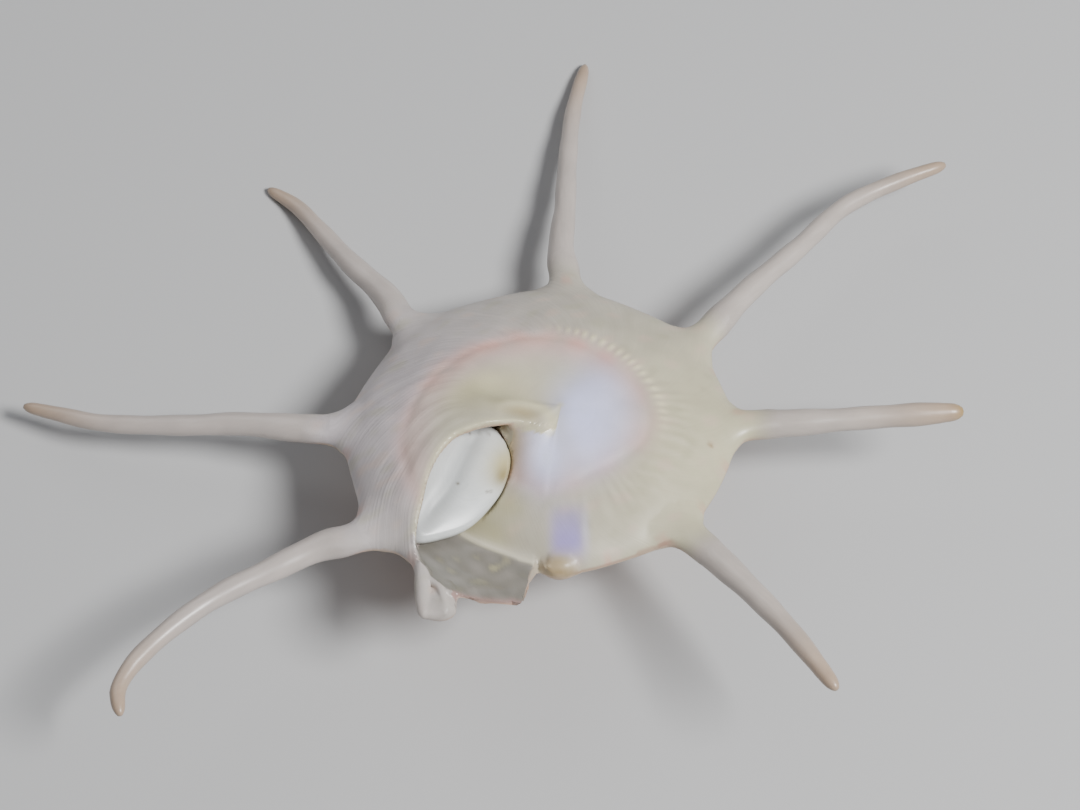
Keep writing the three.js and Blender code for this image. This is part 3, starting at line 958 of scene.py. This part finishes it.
turn_share = np.log(np.maximum(far, 0.5) / keel_radius(bearing)) / math.log(GROWTH_PER_TURN)
turn_share = np.mod(np.mod(turn_share, 1) + 0.5, 1)
tips = [path[-1] for path, _ in SPINES.values()]
BROKEN_TIP = SPINES[2.4][0][-1]
tint = lay_all(tint, {
    "salmon": ((190, 164, 150), under * 0.85),
    "pale flecks": ((204, 190, 176), smoothstep(0.3, 1.4, wobble(p, 3.0)) * under * 0.6),
    "pale middle of a turn": ((206, 196, 182), under * hill(turn_share, 0.5, 0.12) * 0.7),
    "bronze tip": ((172, 144, 132), under * smoothstep(9, 2, far) * 0.5),
    "cream spines": ((184, 178, 174), on_spine * 0.95),
    "darker tips": ((166, 150, 136), near(tips, 8.0) * 0.85 * on_spine),
    "broken tip": ((142, 124, 92), near([BROKEN_TIP], 1.3) * 0.9),
})

# %% [markdown]
# ## Storing the looks on the surface
#
# A picture wrapped around the shell would need seams and a painter. Values stored on the points
# need neither, and the material reads them by name. The tint is made richer here, because the
# view transform takes some colour out again.

# %% The tint
RICHER = 1.7


def store(obj, name, values, kind):
    layer = obj.data.attributes.new(name, kind, "POINT")
    field = {"FLOAT": "value", "FLOAT_VECTOR": "vector", "FLOAT_COLOR": "color"}[kind]
    layer.data.foreach_set(field, np.asarray(values, dtype=np.float32).ravel())


def with_alpha(rgb):
    return np.concatenate([rgb, np.ones((len(rgb), 1))], 1)


grey = tint.mean(1)[:, None]
tint = grey + (tint - grey) * RICHER
tint = tint * (1 + 0.03 * wobble(p, 6.0))[:, None]
store(wound, "tint", with_alpha(np.clip(tint, 0, 1)), "FLOAT_COLOR")
print("mean colour", tint.mean(0).round(3))

# %% [markdown]
# Old callus is polished and the worn plug is dull, so the roughness differs from place to place.
# The growth lines are thin, so the material draws them, along coordinates that are stored here.
# Sine and cosine of the angle have no jump after a full turn. A last value makes the lines faint
# on the callus and strong where the shell is bare.

# %% Gloss and growth lines
polished = np.maximum(crescent, inside * 0.7) * top
smooth = np.maximum(crescent, inside * 0.8) * top
gloss = np.full(n, 0.42)
for roughness, where in ((0.2, polished), (0.28, shelf), (0.36, on_spine), (0.6, plug)):
    gloss = mix(gloss, roughness, np.clip(where, 0, 1))
strength = 0.3 + 0.7 * smoothstep(40, 110, age)
for level, where in ((0.25, smooth), (0.3, older | shelf), (0.8, under), (0.6, on_spine)):
    strength = mix(strength, level, np.clip(where, 0, 1))
line_angle = np.radians(np.where(under > 0.5, bearing, growth_line(age, far)))
line_angle = mix(line_angle, np.radians(bearing), on_spine)
reach = mix(63 * smoothstep(3, 11, far), 75, on_spine)
lines = np.stack([reach * np.cos(line_angle), reach * np.sin(line_angle), (far + z) * 0.3], 1)
store(wound, "gloss", gloss, "FLOAT")
store(wound, "growth lines", lines, "FLOAT_VECTOR")
store(wound, "line strength", strength, "FLOAT")
print("roughness from", gloss.min().round(2), "to", gloss.max().round(2))

# %% [markdown]
# ## Colours of the operculum
#
# The plate is bluish white like porcelain, with painted shade along its trough. An olive stain
# lies near the blunt end, its rim is darker, and a few brown specks are scattered on it. It gets
# the same four attributes as the shell, so both can share one kind of material.

# %% Stain and specks of the operculum
q = read_all(operculum.data.vertices, "co", 3)
flat = q - CENTRE
u, v, w = flat @ POINTS, flat @ ACROSS_IT, flat @ FACES
tone = lay_all(np.tile(from_screen((214, 218, 217)), (len(q), 1)), {
    # painted shade: the trough is greyed where it dips
    "painted shade in the trough": ((168, 172, 172), hill(v, trough_line(u), 1.0) * 0.75),
    "ochre stain": ((190, 178, 124), hill(u, -4.6, 2.6) * hill(v, 1.9, 1.7) * 0.9),
    "olive stain": ((138, 120, 60), hill(u, -3.5, 1.2) * hill(v, 2.5, 0.8) * 0.85),
    "dark rim": ((140, 130, 108), smoothstep(0.1, -0.5, w) * 0.8),
})
specks = [(-5.8, -2.0), (-6.2, -1.2), (-1.0, 2.2), (0.2, -0.7), (-5.0, -2.8), (-1.3, 2.5)]
for a, b in specks:
    tone = lay(tone, (116, 108, 94), hill(np.hypot(u - a, v - b), 0, 0.16) * (w > 0))
store(operculum, "tint", with_alpha(tone), "FLOAT_COLOR")
store(operculum, "gloss", np.full(len(q), 0.34), "FLOAT")
store(operculum, "line strength", np.full(len(q), 0.5), "FLOAT")
store(operculum, "growth lines", np.stack([np.hypot(u + 3, v * 1.6) * 9, u, v], 1), "FLOAT_VECTOR")
print("points of the operculum", len(q))

# %% [markdown]
# ## The two materials
#
# Both take colour and roughness from the surface. Noise along the stored growth lines gives fine
# lines in shade and in height, a second noise a faint mottling, and a thin coat the gloss of
# pearl. A picture would blur from close by.

# %% A node and its numbers
def add_node(nodes, kind, operation=None, **numbers):
    node = nodes.new("ShaderNode" + kind)
    if operation:
        node.operation = operation
    for name, number in numbers.items():
        node.inputs[name.replace("_", " ")].default_value = number
    return node


print("add_node ready")

# %% [markdown]
# The lines are read around zero, weighed by their strength, and used twice, as shade and as
# height. So a groove is also the darker place: the lines have some banding of their own, and the
# darkening in the grooves is painted shade.

# %% Pearly shell and porcelain lid
def shell_material(name, line_scale, line_depth, coat):
    material = bpy.data.materials.new(name)
    material.use_nodes = True
    nodes, links = material.node_tree.nodes, material.node_tree.links
    shader = nodes["Principled BSDF"]
    stored = {}
    for key in ("tint", "gloss", "growth lines", "line strength"):
        stored[key] = add_node(nodes, "Attribute")
        stored[key].attribute_name = key
    fine = add_node(nodes, "TexNoise", Scale=line_scale, Detail=5.0, Roughness=0.6)
    cloud = add_node(nodes, "TexNoise", Scale=420.0, Detail=4.0)
    place_at = add_node(nodes, "TexCoord")
    centred = add_node(nodes, "Math", "SUBTRACT")
    centred.inputs[1].default_value = 0.5
    weighed = add_node(nodes, "Math", "MULTIPLY")
    # painted shade: grooves of the growth lines are darker in colour, besides the lines' own
    # banding
    shade = add_node(nodes, "MapRange", From_Min=-0.5, From_Max=0.5, To_Min=0.8, To_Max=1.2)
    mottle = add_node(nodes, "MapRange", To_Min=0.9, To_Max=1.1)
    both = add_node(nodes, "Math", "MULTIPLY")
    scale = add_node(nodes, "VectorMath", "SCALE")
    bump = add_node(nodes, "Bump", Strength=0.5, Distance=line_depth)
    for start, end in (
            (stored["growth lines"].outputs["Vector"], fine.inputs["Vector"]),
            (place_at.outputs["Object"], cloud.inputs["Vector"]),
            (fine.outputs["Fac"], centred.inputs[0]),
            (centred.outputs["Value"], weighed.inputs[0]),
            (stored["line strength"].outputs["Fac"], weighed.inputs[1]),
            (weighed.outputs["Value"], shade.inputs["Value"]),
            (cloud.outputs["Fac"], mottle.inputs["Value"]),
            (shade.outputs["Result"], both.inputs[0]),
            (mottle.outputs["Result"], both.inputs[1]),
            (stored["tint"].outputs["Color"], scale.inputs[0]),
            (both.outputs["Value"], scale.inputs["Scale"]),
            (weighed.outputs["Value"], bump.inputs["Height"]),
            (scale.outputs["Vector"], shader.inputs["Base Color"]),
            (stored["gloss"].outputs["Fac"], shader.inputs["Roughness"]),
            (bump.outputs["Normal"], shader.inputs["Normal"])):
        links.new(start, end)
    shader.inputs["Coat Weight"].default_value = coat
    shader.inputs["Coat Roughness"].default_value = 0.22
    shader.inputs["IOR"].default_value = 1.53
    return material


wound.data.materials.clear()
wound.data.materials.append(shell_material("pearly shell", 1.0, 0.00012, 0.2))
operculum.data.materials.clear()
operculum.data.materials.append(shell_material("porcelain lid", 0.5, 0.00002, 0.3))
print("materials", [m.name for m in bpy.data.materials])

# %% [markdown]
# ## From the shell's frame to the ground
#
# So far the zero point is the tip of the spire. Lying on a table, the shell tips onto that tip
# and the ends of two spines. The tilt was found once, by letting the three lowest points meet the
# ground. Millimetres become metres.

# %% Tip the shell and hand over the pieces
TIP_ANGLE = 13.95
TIP_TOWARDS = 114.3
APEX_ON_GROUND = (0.007126, -0.013141, 0.000006)
MM = 0.001
CREASE = 50
towards = math.radians(TIP_TOWARDS)
hinge = Vector((-math.sin(towards), math.cos(towards), 0))
tipping = Matrix.Rotation(math.radians(TIP_ANGLE), 4, hinge)
settle = Matrix.Translation(APEX_ON_GROUND) @ Matrix.Scale(MM, 4) @ tipping

for piece, node in ((wound, "shell"), (operculum, "operculum")):
    outward(piece)
    piece.data.transform(settle)
    piece.data.shade_smooth()
    piece.data.set_sharp_from_angle(angle=math.radians(CREASE))
    piece.name = {"shell": "spined_shell", "operculum": "oval_operculum"}[node]
    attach(piece, "root")
    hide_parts(node)
    print(piece.name, len(piece.data.polygons), "faces")

# %% [markdown]
# ## Ground
#
# A plain pale floor shows where the shell touches, and its shadow. It isn't part of the object.

# %% Ground
ground_mesh = bpy.data.meshes.new("ground")
ground_mesh.from_pydata([(-2, -2, 0), (2, -2, 0), (2, 2, 0), (-2, 2, 0)], [], [(0, 1, 2, 3)])
ground = put("ground", ground_mesh)
pale = bpy.data.materials.new("pale ground")
pale.use_nodes = True
plain = pale.node_tree.nodes["Principled BSDF"]
plain.inputs["Base Color"].default_value = (0.5, 0.5, 0.5, 1)
plain.inputs["Roughness"].default_value = 0.9
ground_mesh.materials.append(pale)
print("ground 4 m wide")

# %% [markdown]
# ## Light
#
# The photograph has one soft light from the front right. A wide weak lamp and a dim bluish sky
# lift its shadows a little.

# %% Lamps and sky
def lamp(name, spot_at, aim, power, size):
    data = bpy.data.lights.new(name, "AREA")
    data.energy = power
    data.shape = "DISK"
    data.size = size
    obj = put(name, data)
    obj.location = spot_at
    obj.rotation_euler = (Vector(aim) - Vector(spot_at)).to_track_quat("-Z", "Y").to_euler()


lamp("key light", (0.24, -0.14, 0.40), (0, 0, 0.01), 3.3, 0.16)
lamp("fill light", (-0.3, 0.35, 0.4), (0, 0, 0.01), 0.7, 0.5)
world = bpy.data.worlds.new("soft studio")
world.use_nodes = True
world.node_tree.nodes["Background"].inputs["Color"].default_value = (0.9, 0.93, 1.0, 1)
world.node_tree.nodes["Background"].inputs["Strength"].default_value = 0.22
bpy.context.scene.world = world
print("lamps", len(bpy.data.lights))

# %% [markdown]
# ## Camera
#
# The camera looks at the shell as the photograph does: 50 degrees above the shell's own disc,
# turned 3 degrees, 320 mm away. Its numbers are simple in the shell's frame, so it is placed
# there and then tipped with the shell.

# %% The photograph's view
PITCH = math.radians(50)
ROLL = math.radians(3)
DISTANCE = 320.0
AIM = Vector((-1.1, -1.3, 11.5))
LOOK_LEFT, LOOK_ABOVE = 1.35, 4.17
LENS, SENSOR = 102.4, 36.0

forward = Vector((0, math.cos(PITCH), -math.sin(PITCH)))
level_right = Vector((1, 0, 0))
level_up = Vector((0, math.sin(PITCH), math.cos(PITCH)))
right = level_right * math.cos(ROLL) - level_up * math.sin(ROLL)
above = level_right * math.sin(ROLL) + level_up * math.cos(ROLL)
eye = AIM - forward * DISTANCE
look = (AIM - right * LOOK_LEFT + above * LOOK_ABOVE - eye).normalized()
right = look.cross(above).normalized()
above = right.cross(look)

turned = Matrix((right, above, -look)).transposed().to_4x4()
camera_data = bpy.data.cameras.new("camera")
camera_data.lens = LENS
camera_data.sensor_width = SENSOR
camera_data.clip_start = 0.01
camera = put("camera", camera_data)
placed = tipping @ (Matrix.Translation(eye) @ turned)
camera.matrix_world = Matrix.Translation(
    Vector(APEX_ON_GROUND) + placed.translation * MM) @ placed.to_3x3().to_4x4()
bpy.context.scene.camera = camera
print("camera height", round(camera.matrix_world.translation.z, 3), "m")

# %% [markdown]
# ## Finish
# #
# The scene is brought up to date.

# %% Finish
bpy.context.view_layer.update()
